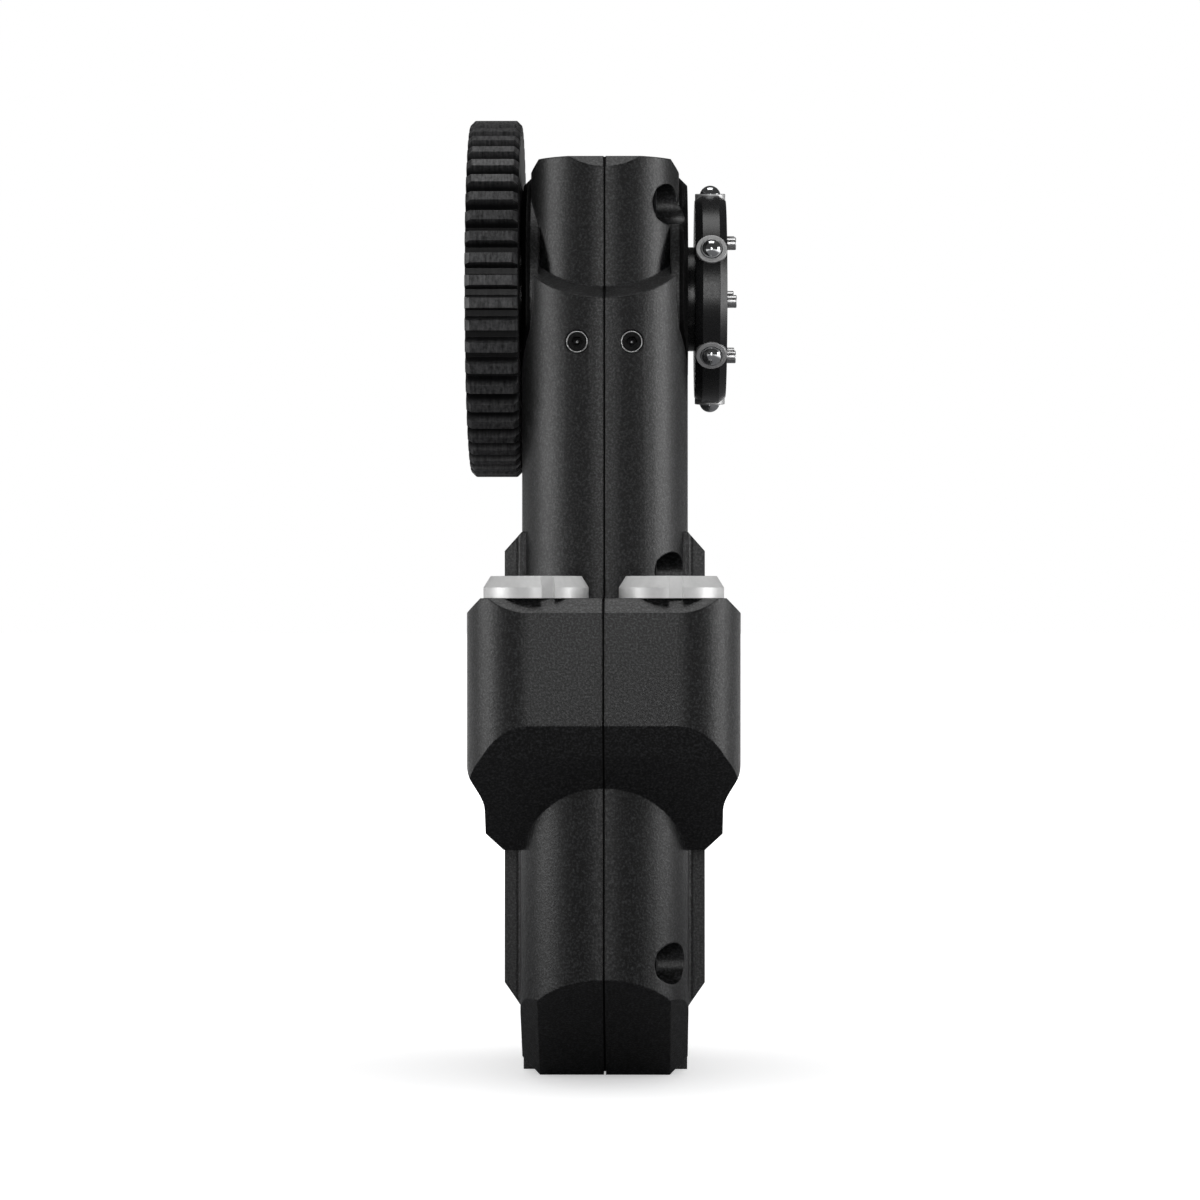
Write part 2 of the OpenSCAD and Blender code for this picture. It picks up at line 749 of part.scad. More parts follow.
// Hubs with their pins and plungers
module hub(sx) at_shaft() scale([sx, 1, 1]) difference() {
    turned([
        [0, bearing_out], [shoulder_r, bearing_out], [shoulder_r, hub_x],
        [hub_d / 2 - hub_chamfer, hub_x], [hub_d / 2, hub_x + hub_chamfer_x],
        [hub_d / 2, hub_x + hub_t - hub_chamfer_x], [hub_d / 2 - hub_chamfer, hub_x + hub_t],
        [hub_dish_r + hub_dish, hub_x + hub_t], [hub_dish_r, hub_x + hub_t - hub_dish],
        [0, hub_x + hub_t - hub_dish]
    ]);
    rod_x(0, shaft_end, shaft_r);
    rod_x(0, hub_x + hub_t, hub_screw_shank_r);
    rod_x(hub_x + hub_t - hub_dish - hub_screw_sink, hub_x + hub_t, hub_screw_r);
    pin_spots(sx) rod_x(hub_x + pin_floor, hub_x + hub_t + over, pin_d / 2 + pin_shoulder);
    plunger_spots(sx) plunger_hole();
}
function hub_turn(sx) = hub_turns[(sx + 1) / 2];
module pin_spots(sx) for (k = [0:hub_count - 1])
    rotate([-hub_turn(sx) - hub_step * k, 0, 0]) at(-pin_pcd / 2, 0) children();
module plunger_spot(sx, k) rotate([-hub_turn(sx) - hub_step * (k + 1 / 2), 0, 0]) children();
module plunger_spots(sx) for (k = [0:hub_count - 1]) plunger_spot(sx, k) children();
module plunger_hole() translate([hub_x + hub_t / 2, -sleeve_in, 0]) rotate([90, 0, 0])
    cylinder(h = hub_d, d = sleeve_d);
module sleeve() translate([hub_x + hub_t / 2, -sleeve_in, 0]) rotate([90, 0, 0]) difference() {
    cylinder(h = hub_d / 2 + sleeve_lip - sleeve_in, d = sleeve_d);
    translate([0, 0, sleeve_floor]) cylinder(h = hub_d, r = ball_d / 2 + ball_gap);
}
module ball(sx, k) at_shaft() scale([sx, 1, 1]) plunger_spot(sx, k)
    translate([hub_x + hub_t / 2, -ball_c, 0]) color("white") sphere(d = ball_d);
module spring() {
    low = sleeve_in + sleeve_floor;
    high = ball_c - ball_d / 2;
    r = ball_d / 2 - spring_wire;
    translate([hub_x + hub_t / 2, -low, 0]) rotate([90, 0, 0]) rotate_extrude()
        translate([r - spring_wire, 0]) square([spring_wire * 2, high - low]);
}
module hub_left() color([0.12, 0.12, 0.13]) hub(-1);
module hub_right() color([0.12, 0.12, 0.13]) hub(1);
// The pins in the lens gear taper a little, and those of the bare hub are straight
module hub_pins(sx, taper) color("lightgray") at_shaft() scale([sx, 1, 1]) pin_spots(sx) {
    rod_x(hub_x + pin_floor, hub_x + hub_t, pin_d / 2 + pin_shoulder);
    translate([hub_x + hub_t - over, 0, 0]) rotate([0, 90, 0])
        cylinder(h = over + pin_out, r1 = pin_d / 2, r2 = pin_d / 2 - taper);
}
module hub_pins_left() hub_pins(-1, pin_taper);
module hub_pins_right() hub_pins(1, 0);
module plunger_sleeves(sx) color("silver") at_shaft() scale([sx, 1, 1]) plunger_spots(sx) sleeve();
module plunger_sleeves_left() plunger_sleeves(-1);
module plunger_sleeves_right() plunger_sleeves(1);
module plunger_springs(sx) color("gray") at_shaft() scale([sx, 1, 1]) plunger_spots(sx) spring();
module plunger_springs_left() plunger_springs(-1);
module plunger_springs_right() plunger_springs(1);
module hub_screw(sx) color("dimgray") at_shaft() scale([sx, 1, 1]) difference() {
    union() {
        rod_x(shaft_end - hub_screw_len, hub_x + hub_t - hub_dish, hub_screw_shank_r);
        rod_x(hub_x + hub_t - hub_dish - hub_screw_sink, hub_x + hub_t - hub_dish_rise, hub_screw_r);
    }
    translate([hub_x + hub_t - hub_key_h - hub_dish_rise, 0, 0]) rotate([0, 90, 0])
        cylinder(h = hub_key_h + over, d = hub_key_d, $fn = 6);
}
module hub_screw_left() hub_screw(-1);
module hub_screw_right() hub_screw(1);

// Lens gear: a cup over the left hub, with blunt teeth and a groove for the balls
module drive_gear() color([0.06, 0.06, 0.06]) at_shaft() {
    pitch = 360 / gear_teeth;
    root = gear_outer_r - tooth_depth_share * gear_module;
    tip_half = tooth_tip_share * pitch / 2;
    base_half = tooth_base_share * pitch / 2;
    inner = hub_d / 2 + gear_bore_gap;
    mid = hub_x + hub_t / 2;
    face = hub_x + hub_t + gear_bore_gap;
    groove = ball_c + (ball_d / 2 + groove_gap) * sqrt(2) - inner;
    difference() {
        intersection() {
            from_x(-gear_x - gear_w, gear_w) polygon([
                for (k = [0:gear_teeth - 1]) let (a = 180 - gear_turn + pitch * k) each [
                    root * [cos(a - base_half), sin(a - base_half)],
                    gear_outer_r * [cos(a - tip_half), sin(a - tip_half)],
                    gear_outer_r * [cos(a + tip_half), sin(a + tip_half)],
                    root * [cos(a + base_half), sin(a + base_half)]
                ]
            ]);
            turned([
                [0, -gear_x - gear_w], [gear_outer_r - tooth_edge, -gear_x - gear_w],
                [gear_outer_r + over, -gear_x - gear_w + tooth_edge + over],
                [gear_outer_r + over, -gear_x - tooth_edge - over],
                [gear_outer_r - tooth_edge, -gear_x], [0, -gear_x]
            ]);
        }
        scale([-1, 1, 1]) {
            turned([
                [0, gear_x - over], [inner, gear_x - over], [inner, mid - groove],
                [inner + groove, mid], [inner, mid + groove], [inner, face], [0, face]
            ]);
            pin_spots(-1) rod_x(hub_x, gear_x + gear_w + over, pin_d / 2 + gear_hole_gap);
            rod_x(hub_x, gear_x + gear_w + over, gear_open_r);
        }
    }
}

// Sockets on the block
module socket(i) at_shaft() translate([(2 * i - 1) * socket_pitch / 2, socket_y, -block_drop]) children();
module socket_nut(i) color("silver") socket(i) difference() {
    union() {
        cylinder(h = nut_h - nut_cone_h, d = nut_d);
        translate([0, 0, nut_h - nut_cone_h])
            cylinder(h = nut_cone_h, r1 = nut_d / 2, r2 = nut_d / 2 - nut_cone);
    }
    translate([0, 0, -over]) cylinder(h = nut_h + 2 * over, r = shell_r);
    rotate(nut_turns[i]) for (sy = [-1, 1])
        translate([-nut_slot_w / 2, sy * nut_d / 2 - nut_slot_depth, -over])
            cube([nut_slot_w, 2 * nut_slot_depth, nut_h + 2 * over]);
}
module socket_nut_left() socket_nut(0);
module socket_nut_right() socket_nut(1);
module socket_shell(i) color("gainsboro") socket(i)
    translate([0, 0, nut_h - shell_proud - shell_len]) difference() {
        cylinder(h = shell_len, r = shell_r);
        translate([0, 0, shell_len - insert_drop - insert_t])
            cylinder(h = insert_drop + insert_t + over, r = shell_bore_r);
    }
module socket_shell_left() socket_shell(0);
module socket_shell_right() socket_shell(1);
module socket_insert(i) color("ivory") socket(i) difference() {
    translate([0, 0, insert_z]) cylinder(h = insert_t, r = shell_bore_r);
    contact_spots() cylinder(h = insert_t + contact_up, r = contact_r);
}
module contact_spots() for (k = [0:contact_count - 1]) rotate(360 / contact_count * (k + 1 / 2))
    translate([contact_ring, 0, insert_z]) children();
module socket_insert_left() socket_insert(0);
module socket_insert_right() socket_insert(1);
module socket_contacts() color("gold") for (i = [0, 1]) socket(i)
    contact_spots() cylinder(h = insert_t + contact_up, r = contact_r);

// Rod clamp
module hinge_place() at(hinge_y, hinge_z) children();
module rod_saddle() color([0.1, 0.1, 0.11]) difference() {
    union() {
        along_x(clamp_w) polygon([
            [-saddle_front, -saddle_bottom], [-split, -saddle_bottom], [-split, saddle_top],
            [-saddle_front, saddle_top]
        ]);
        hinge_place() rod_x(-knuckle_half + knuckle_gap, knuckle_half - knuckle_gap, knuckle_r);
        translate([-knuckle_half + knuckle_gap, -over, hinge_z - knuckle_r])
            cube([2 * (knuckle_half - knuckle_gap), over + hinge_y, 2 * knuckle_r]);
    }
    rod_x(-far, far, bore_r);
    hinge_place() rod_x(-far, far, hinge_pin_r);
    for (sx = [-1, 1]) scale([sx, 1, 1]) {
        hinge_place() rod_x(knuckle_half, far, knuckle_r + knuckle_gap);
        translate([saddle_screw_x, -split, clamp_screw_z]) rotate([90, 0, 0]) {
            cylinder(h = saddle_front, r = saddle_screw_r);
            translate([0, 0, -over]) cylinder(h = saddle_screw_head_h + over, r = saddle_screw_head_r);
        }
        translate([saddle_dowel_x, -saddle_front + saddle_dowel_in, saddle_dowel_z]) rotate([90, 0, 0])
            cylinder(h = saddle_dowel_in + over, r = saddle_dowel_r);
    }
    translate([0, over, clamp_screw_z]) rotate([90, 0, 0])
        cylinder(h = saddle_front + 2 * over, r = clamp_screw_r + clamp_hole_gap);
}
module clamp_jaw() color([0.1, 0.1, 0.11]) difference() {
    union() {
        intersection() {
            rod_x(-clamp_w / 2, clamp_w / 2, bore_r + jaw_wall);
            translate([-far, split, -far]) cube([2 * far, far, 2 * far]);
        }
        along_x(clamp_w) polygon([
            [split, bore_r - over], [ear_back, bore_r - over], [ear_back, saddle_top], [split, saddle_top]
        ]);
        for (sx = [-1, 1]) scale([sx, 1, 1])
            hinge_place() rod_x(knuckle_half + knuckle_gap / 2, clamp_w / 2, knuckle_r);
    }
    rod_x(-far, far, bore_r);
    hinge_place() rod_x(-far, far, hinge_pin_r + hinge_run);
    hinge_place() rod_x(-knuckle_half, knuckle_half, knuckle_r + knuckle_gap);
    translate([0, ear_back + over, clamp_screw_z]) rotate([90, 0, 0])
        cylinder(h = ear_back + 2 * over, r = clamp_screw_r + clamp_hole_gap);
}
module clamp_pin() color("silver") hinge_place() rod_x(-clamp_w / 2, clamp_w / 2, hinge_pin_r);
module clamp_washer() color("gray") translate([0, washer_y, clamp_screw_z]) rotate([-90, 0, 0])
    difference() {
        cylinder(h = washer_t, r = washer_r);
        translate([0, 0, -over]) cylinder(h = washer_t + 2 * over, r = clamp_screw_r + washer_run);
    }
module clamp_screw() color([0.15, 0.15, 0.16]) translate([0, clamp_tip, clamp_screw_z])
    rotate([-90, 0, 0]) difference() {
        union() {
            cylinder(h = washer_y + washer_t, r = clamp_screw_r);
            translate([0, 0, washer_y + washer_t + washer_run - clamp_tip]) cylinder(h = knob_w, r = knob_r);
        }
        for (k = [0:knob_flutes - 1]) rotate(360 / knob_flutes * k)
            translate([knob_r + flute_r / 2, 0, washer_y + washer_t - clamp_tip])
                cylinder(h = knob_w + over, r = flute_r);
    }
module saddle_screws() color("dimgray") for (sx = [-1, 1])
    translate([sx * saddle_screw_x, -split, clamp_screw_z]) rotate([90, 0, 0]) difference() {
        union() {
            cylinder(h = saddle_screw_len, r = saddle_screw_r);
            cylinder(h = saddle_screw_head_h, r = saddle_screw_head_r);
        }
        translate([0, 0, -over]) cylinder(h = screw_key_h + over, d = set_key_d, $fn = 6);
    }
module saddle_dowels() color("silver") for (sx = [-1, 1])
    translate([sx * saddle_dowel_x, -saddle_front + saddle_dowel_in, saddle_dowel_z])
        rotate([90, 0, 0]) cylinder(h = saddle_dowel_in + saddle_dowel_out, r = saddle_dowel_r);

housing_left();
housing_right();
housing_gasket();
housing_screws();
housing_dowels();
set_screws();
output_shaft();
bearing_left();
bearing_right();
output_gear();
idler_gear();
idler_axle();
compound_gear();
compound_axle();
motor_can();
motor_cap();
motor_stator();
motor_rotor();
motor_pinion();
control_board();
hub_left();
hub_right();
hub_pins_left();
hub_pins_right();
plunger_sleeves_left();
plunger_sleeves_right();
plunger_springs_left();
plunger_springs_right();
hub_screw_left();
hub_screw_right();
drive_gear();
ball(-1, 0);  // ball_left_1
ball(-1, 1);  // ball_left_2
ball(-1, 2);  // ball_left_3
ball(-1, 3);  // ball_left_4
ball(-1, 4);  // ball_left_5
ball(-1, 5);  // ball_left_6
ball(1, 0);  // ball_right_1
ball(1, 1);  // ball_right_2
ball(1, 2);  // ball_right_3
ball(1, 3);  // ball_right_4
ball(1, 4);  // ball_right_5
ball(1, 5);  // ball_right_6
socket_nut_left();
socket_nut_right();
socket_shell_left();
socket_shell_right();
socket_insert_left();
socket_insert_right();
socket_contacts();
rod_saddle();
clamp_jaw();
clamp_pin();
clamp_washer();
clamp_screw();
saddle_screws();
saddle_dowels();
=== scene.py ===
import json
import math

import bmesh
import bpy
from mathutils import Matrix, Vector

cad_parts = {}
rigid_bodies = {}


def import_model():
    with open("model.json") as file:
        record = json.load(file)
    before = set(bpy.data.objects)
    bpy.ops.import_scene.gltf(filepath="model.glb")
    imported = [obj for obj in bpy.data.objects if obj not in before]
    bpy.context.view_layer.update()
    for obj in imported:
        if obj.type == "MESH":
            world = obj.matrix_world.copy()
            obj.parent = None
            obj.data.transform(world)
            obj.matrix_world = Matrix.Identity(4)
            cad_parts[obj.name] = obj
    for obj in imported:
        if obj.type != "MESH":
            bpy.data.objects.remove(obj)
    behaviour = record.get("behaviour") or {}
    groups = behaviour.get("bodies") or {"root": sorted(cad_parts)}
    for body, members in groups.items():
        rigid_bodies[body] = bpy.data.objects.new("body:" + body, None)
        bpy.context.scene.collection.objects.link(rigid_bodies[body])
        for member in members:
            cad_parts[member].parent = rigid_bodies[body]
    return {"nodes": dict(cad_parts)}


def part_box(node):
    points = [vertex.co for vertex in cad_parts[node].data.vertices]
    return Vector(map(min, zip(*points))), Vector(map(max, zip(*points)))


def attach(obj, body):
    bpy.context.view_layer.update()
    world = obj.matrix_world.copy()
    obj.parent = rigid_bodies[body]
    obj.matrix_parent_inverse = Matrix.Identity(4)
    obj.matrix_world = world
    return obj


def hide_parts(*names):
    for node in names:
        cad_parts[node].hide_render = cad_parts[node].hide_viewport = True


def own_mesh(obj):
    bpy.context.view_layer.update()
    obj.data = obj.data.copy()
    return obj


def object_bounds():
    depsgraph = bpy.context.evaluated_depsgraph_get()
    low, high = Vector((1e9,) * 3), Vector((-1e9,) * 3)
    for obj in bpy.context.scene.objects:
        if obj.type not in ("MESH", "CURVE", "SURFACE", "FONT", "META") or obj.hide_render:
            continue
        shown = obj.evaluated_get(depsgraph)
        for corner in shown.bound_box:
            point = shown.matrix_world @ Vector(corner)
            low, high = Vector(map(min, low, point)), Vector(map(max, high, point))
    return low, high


for old in list(bpy.data.objects):
    bpy.data.objects.remove(old)

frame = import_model()
nodes = frame["nodes"]
cad_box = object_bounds()

MM = 0.001
# The output shaft lies along X at this place
shaft_y = -8.0 * MM
shaft_z = 77.4 * MM
scene = bpy.context.scene
scene.view_settings.view_transform = "Standard"

# Camera

view_height = 41.5 * MM
target = Vector((-0.67 * MM, shaft_y, view_height))
eye = Vector((3.92 * MM, -485.7 * MM, view_height))
camera_data = bpy.data.cameras.new("camera")
camera_data.sensor_width = 36.0
camera_data.lens = 120.0
camera_data.clip_start = 0.01
camera_data.clip_end = 50.0
camera = bpy.data.objects.new("camera", camera_data)
scene.collection.objects.link(camera)
camera.location = eye
camera.rotation_euler = (target - eye).to_track_quat("-Z", "Y").to_euler()
scene.camera = camera

# Materials

# Most values of a noise lie between these two
noise_low = 0.3
noise_high = 0.7


def wire(tree, start, end):
    tree.links.new(start, end)


def make_material(name):
    material = bpy.data.materials.new(name)
    material.use_nodes = True
    tree = material.node_tree
    shader = tree.nodes["Principled BSDF"]
    return material, tree, shader


def add_place(tree):
    return tree.nodes.new("ShaderNodeTexCoord").outputs["Object"]


def add_split(tree, place):
    split = tree.nodes.new("ShaderNodeSeparateXYZ")
    wire(tree, place, split.inputs[0])
    return split.outputs


def add_noise(tree, scale, detail, rough, place=None):
    if place is None:
        place = add_place(tree)
    noise = tree.nodes.new("ShaderNodeTexNoise")
    noise.inputs["Scale"].default_value = scale
    noise.inputs["Detail"].default_value = detail
    noise.inputs["Roughness"].default_value = rough
    wire(tree, place, noise.inputs["Vector"])
    return noise.outputs["Fac"]


def add_range(tree, value, low, high, to_low, to_high):
    spread = tree.nodes.new("ShaderNodeMapRange")
    spread.inputs["From Min"].default_value = low
    spread.inputs["From Max"].default_value = high
    spread.inputs["To Min"].default_value = to_low
    spread.inputs["To Max"].default_value = to_high
    wire(tree, value, spread.inputs["Value"])
    return spread.outputs["Result"]


def add_spread(tree, noise, to_low, to_high):
    return add_range(tree, noise, noise_low, noise_high, to_low, to_high)


def fill_in(tree, spots, values):
    # A value is wired where it comes from a node, and set where it is a number or a colour
    for spot, value in zip(spots, values):
        if isinstance(value, bpy.types.NodeSocket):
            wire(tree, value, spot)
        else:
            spot.default_value = value


def add_math(tree, kind, first, second=0.0):
    step = tree.nodes.new("ShaderNodeMath")
    step.operation = kind
    fill_in(tree, step.inputs, (first, second))
    return step.outputs[0]


def add_colour(tree, value, dark, light, low=noise_low, high=noise_high):
    ramp = tree.nodes.new("ShaderNodeValToRGB")
    ramp.color_ramp.elements[0].position = low
    ramp.color_ramp.elements[0].color = (*dark, 1.0)
    ramp.color_ramp.elements[1].position = high
    ramp.color_ramp.elements[1].color = (*light, 1.0)
    wire(tree, value, ramp.inputs["Fac"])
    return ramp.outputs["Color"]


def add_bump(tree, height, distance, strength, under):
    bump = tree.nodes.new("ShaderNodeBump")
    bump.inputs["Distance"].default_value = distance
    bump.inputs["Strength"].default_value = strength
    wire(tree, height, bump.inputs["Height"])
    wire(tree, under, bump.inputs["Normal"])
    return bump.outputs["Normal"]


def add_mix(tree, share, start, end, kind="FLOAT"):
    mix = tree.nodes.new("ShaderNodeMix")
    mix.data_type = kind
    fill_in(tree, [spot for spot in mix.inputs if spot.enabled], (share, start, end))
    return [spot for spot in mix.outputs if spot.enabled][0]


def add_edge(tree, radius):
    # Shades sharp edges as if they were rounded with this radius
    bevel = tree.nodes.new("ShaderNodeBevel")
    bevel.samples = 6
    bevel.inputs["Radius"].default_value = radius
    return bevel.outputs["Normal"]


def finish_shader(tree, shader, colour, rough, bump, distance, strength, edge):
    wire(tree, colour, shader.inputs["Base Color"])
    wire(tree, rough, shader.inputs["Roughness"])
    normal = add_bump(tree, bump, distance, strength, add_edge(tree, edge))
    wire(tree, normal, shader.inputs["Normal"])


def blasted_black(name, dark, light, rough, specular, edge):
    # Bead-blasted and black anodised: bright specks, and a slow change of gloss over the surface
    material, tree, shader = make_material(name)
    speckle = add_noise(tree, scale=3900.0, detail=3.0, rough=0.65)
    cloud = add_noise(tree, scale=90.0, detail=3.0, rough=0.5)
    specks = add_colour(tree, speckle, dark, light, low=0.46, high=0.68)
    grain_gloss = add_spread(tree, speckle, rough + 0.09, rough - 0.08)
    cloud_gloss = add_spread(tree, cloud, rough - 0.05, rough + 0.05)
    gloss = add_mix(tree, 0.25, grain_gloss, cloud_gloss)
    shader.inputs["Specular IOR Level"].default_value = specular
    finish_shader(tree, shader, specks, gloss, speckle, distance=0.04 * MM, strength=0.7, edge=edge)
    return material


def smooth_finish(name, dark, rough, specular, edge):
    material, tree, shader = make_material(name)
    grain = add_noise(tree, scale=2600.0, detail=4.0, rough=0.6)
    lighter = 1.35
    colour = add_colour(tree, grain, dark, tuple(part * lighter for part in dark))
    gloss = add_spread(tree, grain, rough - 0.03, rough + 0.05)
    shader.inputs["Specular IOR Level"].default_value = specular
    finish_shader(tree, shader, colour, gloss, grain, distance=0.003 * MM, strength=0.4, edge=edge)
    return material


def turned_polymer(name, dark, light, rough, specular, edge):
    # Fine turning marks run round the shaft's axis
    mark_scale = 3200.0
    turn_scale = 14.0
    groove_r = 20.2 * MM
    tip_r = 20.95 * MM
    material, tree, shader = make_material(name)
    split = add_split(tree, add_place(tree))
    rise = add_math(tree, "SUBTRACT", split["Z"], shaft_z)
    front = add_math(tree, "SUBTRACT", split["Y"], shaft_y)
    turn = add_math(tree, "ARCTAN2", rise, front)
    join = tree.nodes.new("ShaderNodeCombineXYZ")
    wire(tree, add_math(tree, "MULTIPLY", split["X"], mark_scale), join.inputs[0])
    wire(tree, add_math(tree, "MULTIPLY", turn, turn_scale), join.inputs[1])
    marks = add_noise(tree, scale=1.0, detail=3.0, rough=0.6, place=join.outputs[0])
    grain = add_noise(tree, scale=3000.0, detail=3.0, rough=0.6)
    blend = add_mix(tree, 0.4, marks, grain)
    # Painted shade: the colour darkens from the tooth tops down into the grooves between them
    rise_square = add_math(tree, "MULTIPLY", rise, rise)
    front_square = add_math(tree, "MULTIPLY", front, front)
    reach = add_math(tree, "SQRT", add_math(tree, "ADD", rise_square, front_square))
    painted_groove_shade = add_range(tree, reach, groove_r, tip_r, 0.1, 1.0)
    streaks = add_colour(tree, blend, dark, light, low=0.35, high=0.65)
    colour = add_mix(tree, painted_groove_shade, (*dark, 1.0), streaks, "RGBA")
    gloss = add_spread(tree, blend, rough + 0.06, rough - 0.05)
    shader.inputs["Specular IOR Level"].default_value = specular
    finish_shader(tree, shader, colour, gloss, blend, distance=0.02 * MM, strength=0.6, edge=edge)
    return material


def metal(name, dark, light, metallic, rough, edge, bump=0.004):
    # bump is how deep the grain is, in mm
    material, tree, shader = make_material(name)
    grain = add_noise(tree, scale=1500.0, detail=4.0, rough=0.6)
    colour = add_colour(tree, grain, dark, light)
    gloss = add_spread(tree, grain, rough - 0.05, rough + 0.07)
    shader.inputs["Metallic"].default_value = metallic
    finish_shader(tree, shader, colour, gloss, grain, distance=bump * MM, strength=0.4, edge=edge)
    return material


def grey(level):
    return (level, level, level)


# Each row is what its maker takes. All the names but collar and boss_black are slots of the nodes.
finish_rows = (
    # maker, name, dark, light, rough, specular, edge
    (blasted_black, "body_black", grey(0.0002), (0.036, 0.037, 0.0385), 0.34, 0.5, 0.22 * MM),
    (blasted_black, "clamp_black", grey(0.0002), (0.036, 0.037, 0.0385), 0.34, 0.5, 0.2 * MM),
    # Painted shade: a darker, duller copy of body_black, laid over the shaded boss rims. The set screws
    # take it too.
    (blasted_black, "boss_black", grey(0.0004), (0.008, 0.0082, 0.0085), 0.5, 0.2, 0.1 * MM),
    # maker, name, dark, rough, specular, edge
    (smooth_finish, "hub_black", (0.007, 0.007, 0.0075), 0.27, 0.5, 0.06 * MM),
    (smooth_finish, "gasket_rubber", grey(0.004), 0.75, 0.2, 0.02 * MM),
    (smooth_finish, "board_green", (0.010, 0.085, 0.030), 0.34, 0.5, 0.05 * MM),
    (smooth_finish, "insert_polymer", (0.020, 0.020, 0.022), 0.48, 0.4, 0.08 * MM),
    # maker, name, dark, light, rough, specular, edge
    (turned_polymer, "gear_polymer", (0.004, 0.004, 0.0045), (0.085, 0.085, 0.087), 0.42, 0.4, 0.05 * MM),
    # maker, name, dark, light, metallic, rough, edge, bump
    (metal, "screw_black", (0.010, 0.010, 0.011), (0.022, 0.022, 0.024), 0.3, 0.42, 0.08 * MM),
    (metal, "collar", grey(0.55), grey(0.64), 0.6, 0.42, 0.06 * MM, 0.001),
    (metal, "steel", grey(0.56), grey(0.66), 1.0, 0.30, 0.06 * MM, 0.001),
    (metal, "ball_chrome", (0.66, 0.67, 0.68), (0.74, 0.75, 0.76), 1.0, 0.12, 0.02 * MM, 0.0),
    (metal, "nut_silver", (0.80, 0.80, 0.795), (0.86, 0.86, 0.855), 0.42, 0.38, 0.06 * MM, 0.002),
    (metal, "brass", (0.60, 0.42, 0.16), (0.74, 0.54, 0.24), 1.0, 0.28, 0.05 * MM),
    (metal, "alloy", (0.46, 0.47, 0.48), (0.58, 0.59, 0.60), 1.0, 0.38, 0.1 * MM),
    (metal, "copper", (0.58, 0.24, 0.10), (0.74, 0.36, 0.18), 1.0, 0.32, 0.1 * MM),
    (metal, "contact_gold", (0.72, 0.48, 0.16), (0.86, 0.62, 0.26), 1.0, 0.2, 0.03 * MM),
)
finishes = {name: maker(name, *rest) for maker, name, *rest in finish_rows}

slots = {}
for name, node in nodes.items():
    for spot in node.material_slots:
        slots[name] = spot.material.name.split(".")[0]
        spot.material = finishes[slots[name]]

# Finer pieces

sides = ("left", "right")
# Points of a node's mesh closer than this are one point
same_point = 0.002 * MM


def place_piece(name, mesh, finish, body):
    mesh.materials.clear()
    mesh.materials.append(finishes[finish])
    piece = bpy.data.objects.new(name, mesh)
    scene.collection.objects.link(piece)
    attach(piece, body)
    return piece


def make_mesh(name, shape):
    mesh = bpy.data.meshes.new(name)
    shape.to_mesh(mesh)
    shape.free()
    return mesh


def round_edges(name, width, steps=3, along=1.0, finish=None):
    # A copy of a CAD node with its sharp edges rounded by width, or by along times width where they run
    # along X
    sharp = math.radians(28.0)
    flat = math.radians(0.6)
    node = nodes[name]
    shape = bmesh.new()
    shape.from_mesh(node.data)
    bmesh.ops.remove_doubles(shape, verts=shape.verts, dist=same_point)
    bmesh.ops.dissolve_limit(shape, angle_limit=flat, verts=shape.verts, edges=shape.edges)
    weight = shape.edges.layers.float.new("bevel_weight_edge")
    for edge in shape.edges:
        if not edge.is_manifold or edge.calc_face_angle() < sharp:
            continue
        run = edge.verts[1].co - edge.verts[0].co
        edge[weight] = along if abs(run.x) > 0.7 * run.length else 1.0
        edge.smooth = False
    for face in shape.faces:
        face.smooth = True
    mesh = make_mesh("fine_" + name, shape)
    body = node.parent.name.split(":")[1]
    piece = place_piece("fine_" + name, mesh, finish or slots[name], body)
    bevel = piece.modifiers.new("edge", "BEVEL")
    bevel.limit_method = "WEIGHT"
    bevel.width = width
    bevel.segments = steps
    bevel.harden_normals = True
    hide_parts(name)
    return piece


def make_lathe(name, profile, centre, finish, body):
    # A ring turned round a line along Y. The profile is a closed loop of radius and place forward, in mm.
    turns = 48
    shape = bmesh.new()
    loops = []
    for turn in range(turns):
        angle = 2.0 * math.pi * turn / turns
        loops.append([
            shape.verts.new((
                centre[0] + radius * MM * math.cos(angle),
                centre[1] - forward * MM,
                centre[2] + radius * MM * math.sin(angle),
            ))
            for radius, forward in profile
        ])
    for turn in range(turns):
        here = loops[turn]
        there = loops[(turn + 1) % turns]
        for spot in range(len(profile)):
            ahead = (spot + 1) % len(profile)
            shape.faces.new((here[spot], there[spot], there[ahead], here[ahead]))
    # Points of a profile that lie on the line become one
    bmesh.ops.remove_doubles(shape, verts=shape.verts, dist=0.001 * MM)
    bmesh.ops.recalc_face_normals(shape, faces=shape.faces)
    for face in shape.faces:
        face.smooth = True
    return place_piece(name, make_mesh(name, shape), finish, body)


def coat_boss(side):
    # Painted shade: a thin sheet of dark, dull black over the slanted rim of the round boss, between the
    # head and the gear or hub, where the rim lies in shade
    rim_inner_x = 8.6 * MM
    rim_inner_r = 13.0 * MM
    rim_outer_r = 15.0 * MM
    node = "housing_" + side
    shape = bmesh.new()
    shape.from_mesh(nodes[node].data)
    rest = []
    for face in shape.faces:
        middle = face.calc_center_median()
        reach = math.hypot(middle.y - shaft_y, middle.z - shaft_z)
        slanted = 0.5 < abs(face.normal.x) < 0.9
        on_rim = abs(middle.x) > rim_inner_x and rim_inner_r < reach < rim_outer_r
        if not (slanted and on_rim):
            rest.append(face)
    bmesh.ops.delete(shape, geom=rest, context="FACES")
    bmesh.ops.remove_doubles(shape, verts=shape.verts, dist=same_point)
    name = "boss_coat_" + side
    piece = place_piece(name, make_mesh(name, shape), "boss_black", "housing")
    coat = piece.modifiers.new("coat", "SOLIDIFY")
    coat.thickness = 0.02 * MM
    coat.offset = 1.0
    return piece


